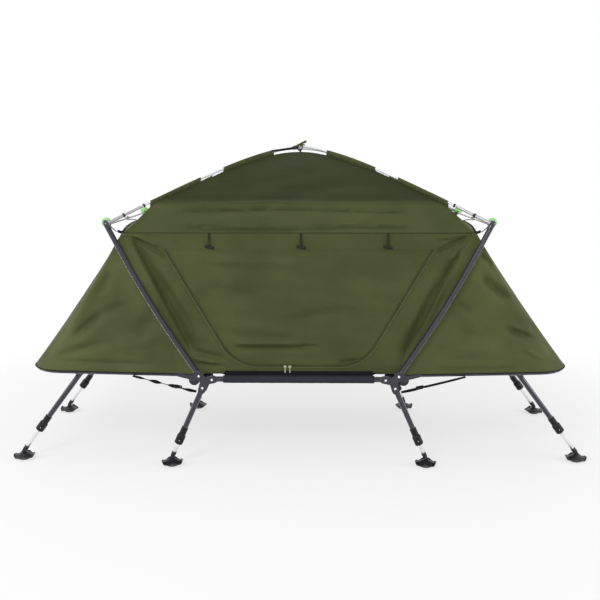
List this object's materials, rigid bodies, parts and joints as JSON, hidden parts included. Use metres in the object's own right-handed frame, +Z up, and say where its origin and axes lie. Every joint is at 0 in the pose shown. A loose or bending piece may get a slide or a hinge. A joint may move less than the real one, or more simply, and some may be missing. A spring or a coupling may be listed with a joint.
{
  "type": "tent cot",
  "caption": "Folding camp bed on telescopic splayed legs, with a small zipped tent carried by two folding hoops and crossing arch poles.",
  "frame": {"origin": "on the ground under the middle of the bed", "axes": "+X along the bed, -Y the door side, +Z up"},
  "size_m": [2.2718, 0.818, 1.2322],
  "materials": {
    "tube": "satin",
    "bright": "satin",
    "plastic": "matt",
    "green": "satin",
    "cloth": "matt",
    "deck": "matt",
    "webbing": "matt",
    "pole": "satin",
    "zip": "satin"
  },
  "bodies": {
    "centre": {"front_side_rail": "tube", "back_side_rail": "tube", "middle_deck": "deck", "canopy_roof": "cloth", "front_wall": "cloth", "back_wall": "cloth", "lower_arch_pole": "pole", "upper_arch_pole": "pole", "ridge_tie": "webbing"},
    "door": {"door_flap": "cloth"},
    "zip_left": {"zip_pull_left": "zip"},
    "zip_right": {"zip_pull_right": "zip"},
    "right_end": {"right_end_bow": "tube", "right_end_deck": "deck", "right_end_wall": "cloth", "right_strap": "webbing"},
    "right_hoop": {"right_front_upright": "tube", "right_back_upright": "tube", "right_front_corner_joint": "green", "right_back_corner_joint": "green", "right_hoop_bar": "bright"},
    "right_outer_legs": {"right_outer_legs": "tube", "right_outer_front_cuff": "plastic", "right_outer_back_cuff": "plastic"},
    "right_outer_front_tube": {"right_outer_front_tube": "bright"},
    "right_outer_front_foot": {"right_outer_front_foot": "plastic"},
    "right_outer_back_tube": {"right_outer_back_tube": "bright"},
    "right_outer_back_foot": {"right_outer_back_foot": "plastic"},
    "right_inner_legs": {"right_inner_legs": "tube", "right_inner_front_cuff": "plastic", "right_inner_back_cuff": "plastic"},
    "right_inner_front_tube": {"right_inner_front_tube": "bright"},
    "right_inner_front_foot": {"right_inner_front_foot": "plastic"},
    "right_inner_back_tube": {"right_inner_back_tube": "bright"},
    "right_inner_back_foot": {"right_inner_back_foot": "plastic"},
    "left_end": {"left_end_bow": "tube", "left_end_deck": "deck", "left_end_wall": "cloth", "left_strap": "webbing"},
    "left_hoop": {"left_front_upright": "tube", "left_back_upright": "tube", "left_front_corner_joint": "green", "left_back_corner_joint": "green", "left_hoop_bar": "bright"},
    "left_outer_legs": {"left_outer_legs": "tube", "left_outer_front_cuff": "plastic", "left_outer_back_cuff": "plastic"},
    "left_outer_front_tube": {"left_outer_front_tube": "bright"},
    "left_outer_front_foot": {"left_outer_front_foot": "plastic"},
    "left_outer_back_tube": {"left_outer_back_tube": "bright"},
    "left_outer_back_foot": {"left_outer_back_foot": "plastic"},
    "left_inner_legs": {"left_inner_legs": "tube", "left_inner_front_cuff": "plastic", "left_inner_back_cuff": "plastic"},
    "left_inner_front_tube": {"left_inner_front_tube": "bright"},
    "left_inner_front_foot": {"left_inner_front_foot": "plastic"},
    "left_inner_back_tube": {"left_inner_back_tube": "bright"},
    "left_inner_back_foot": {"left_inner_back_foot": "plastic"}
  },
  "joints": [
    {"name": "right_fold", "type": "hinge", "parent": "centre", "child": "right_end", "pos_m": [0.405, 0, 0.345], "axis": [0, -1, 0], "range_deg": [0, 110], "deforming": ["canopy_roof", "front_wall", "back_wall", "lower_arch_pole", "upper_arch_pole", "ridge_tie", "door_flap", "right_end_wall", "right_strap"]},
    {"name": "right_hoop_fold", "type": "hinge", "parent": "centre", "child": "right_hoop", "pos_m": [0.381, 0, 0.361], "axis": [0, -1, 0], "range_deg": [0, 55], "deforming": ["canopy_roof", "front_wall", "back_wall", "lower_arch_pole", "upper_arch_pole", "ridge_tie", "door_flap", "right_end_wall"]},
    {"name": "right_outer_legs_fold", "type": "hinge", "parent": "right_end", "child": "right_outer_legs", "pos_m": [0.85, 0, 0.358], "axis": [0, 1, 0], "range_deg": [0, 104]},
    {"name": "right_outer_front_tube_slide", "type": "slide", "parent": "right_outer_legs", "child": "right_outer_front_tube", "axis": [-0.6018, 0, 0.7986], "range_m": [-0.1, 0.06]},
    {"name": "right_outer_front_foot_tilt", "type": "hinge", "parent": "right_outer_front_tube", "child": "right_outer_front_foot", "pos_m": [1.09491, -0.304, 0.033], "axis": [0, 1, 0], "range_deg": [-25, 25]},
    {"name": "right_outer_back_tube_slide", "type": "slide", "parent": "right_outer_legs", "child": "right_outer_back_tube", "axis": [-0.6018, 0, 0.7986], "range_m": [-0.1, 0.06]},
    {"name": "right_outer_back_foot_tilt", "type": "hinge", "parent": "right_outer_back_tube", "child": "right_outer_back_foot", "pos_m": [1.09491, 0.304, 0.033], "axis": [0, 1, 0], "range_deg": [-25, 25]},
    {"name": "right_inner_legs_fold", "type": "hinge", "parent": "centre", "child": "right_inner_legs", "pos_m": [0.368, 0, 0.314], "axis": [0, 1, 0], "range_deg": [0, 102], "deforming": ["right_strap"]},
    {"name": "right_inner_front_tube_slide", "type": "slide", "parent": "right_inner_legs", "child": "right_inner_front_tube", "axis": [-0.4067, 0, 0.9135], "range_m": [-0.1, 0.02]},
    {"name": "right_inner_front_foot_tilt", "type": "hinge", "parent": "right_inner_front_tube", "child": "right_inner_front_foot", "pos_m": [0.49311, -0.368, 0.033], "axis": [0, 1, 0], "range_deg": [-25, 25]},
    {"name": "right_inner_back_tube_slide", "type": "slide", "parent": "right_inner_legs", "child": "right_inner_back_tube", "axis": [-0.4067, 0, 0.9135], "range_m": [-0.1, 0.02]},
    {"name": "right_inner_back_foot_tilt", "type": "hinge", "parent": "right_inner_back_tube", "child": "right_inner_back_foot", "pos_m": [0.49311, 0.368, 0.033], "axis": [0, 1, 0], "range_deg": [-25, 25]},
    {"name": "left_fold", "type": "hinge", "parent": "centre", "child": "left_end", "pos_m": [-0.405, 0, 0.345], "axis": [0, 1, 0], "range_deg": [0, 110], "deforming": ["canopy_roof", "front_wall", "back_wall", "lower_arch_pole", "upper_arch_pole", "ridge_tie", "door_flap", "left_end_wall", "left_strap"]},
    {"name": "left_hoop_fold", "type": "hinge", "parent": "centre", "child": "left_hoop", "pos_m": [-0.381, 0, 0.361], "axis": [0, 1, 0], "range_deg": [0, 55], "deforming": ["canopy_roof", "front_wall", "back_wall", "lower_arch_pole", "upper_arch_pole", "ridge_tie", "door_flap", "left_end_wall"]},
    {"name": "left_outer_legs_fold", "type": "hinge", "parent": "left_end", "child": "left_outer_legs", "pos_m": [-0.85, 0, 0.358], "axis": [0, -1, 0], "range_deg": [0, 104]},
    {"name": "left_outer_front_tube_slide", "type": "slide", "parent": "left_outer_legs", "child": "left_outer_front_tube", "axis": [0.6018, 0, 0.7986], "range_m": [-0.1, 0.06]},
    {"name": "left_outer_front_foot_tilt", "type": "hinge", "parent": "left_outer_front_tube", "child": "left_outer_front_foot", "pos_m": [-1.09491, -0.304, 0.033], "axis": [0, 1, 0], "range_deg": [-25, 25]},
    {"name": "left_outer_back_tube_slide", "type": "slide", "parent": "left_outer_legs", "child": "left_outer_back_tube", "axis": [0.6018, 0, 0.7986], "range_m": [-0.1, 0.06]},
    {"name": "left_outer_back_foot_tilt", "type": "hinge", "parent": "left_outer_back_tube", "child": "left_outer_back_foot", "pos_m": [-1.09491, 0.304, 0.033], "axis": [0, 1, 0], "range_deg": [-25, 25]},
    {"name": "left_inner_legs_fold", "type": "hinge", "parent": "centre", "child": "left_inner_legs", "pos_m": [-0.368, 0, 0.314], "axis": [0, -1, 0], "range_deg": [0, 102], "deforming": ["left_strap"]},
    {"name": "left_inner_front_tube_slide", "type": "slide", "parent": "left_inner_legs", "child": "left_inner_front_tube", "axis": [0.4067, 0, 0.9135], "range_m": [-0.1, 0.02]},
    {"name": "left_inner_front_foot_tilt", "type": "hinge", "parent": "left_inner_front_tube", "child": "left_inner_front_foot", "pos_m": [-0.49311, -0.368, 0.033], "axis": [0, 1, 0], "range_deg": [-25, 25]},
    {"name": "left_inner_back_tube_slide", "type": "slide", "parent": "left_inner_legs", "child": "left_inner_back_tube", "axis": [0.4067, 0, 0.9135], "range_m": [-0.1, 0.02]},
    {"name": "left_inner_back_foot_tilt", "type": "hinge", "parent": "left_inner_back_tube", "child": "left_inner_back_foot", "pos_m": [-0.49311, 0.368, 0.033], "axis": [0, 1, 0], "range_deg": [-25, 25]},
    {"name": "door_swing", "type": "hinge", "parent": "centre", "child": "door", "pos_m": [0, -0.35, 0.842], "axis": [-1, 0, 0], "range_deg": [0, 110]},
    {"name": "zip_left_slide", "type": "slide", "parent": "centre", "child": "zip_left", "axis": [1, 0, 0], "range_m": [-0.205, 0]},
    {"name": "zip_right_slide", "type": "slide", "parent": "centre", "child": "zip_right", "axis": [1, 0, 0], "range_m": [0, 0.285]}
  ],
  "couplings": [
    {"joint": "right_hoop_fold", "follows": "right_fold", "ratio": 0.5},
    {"joint": "left_hoop_fold", "follows": "left_fold", "ratio": 0.5}
  ]
}
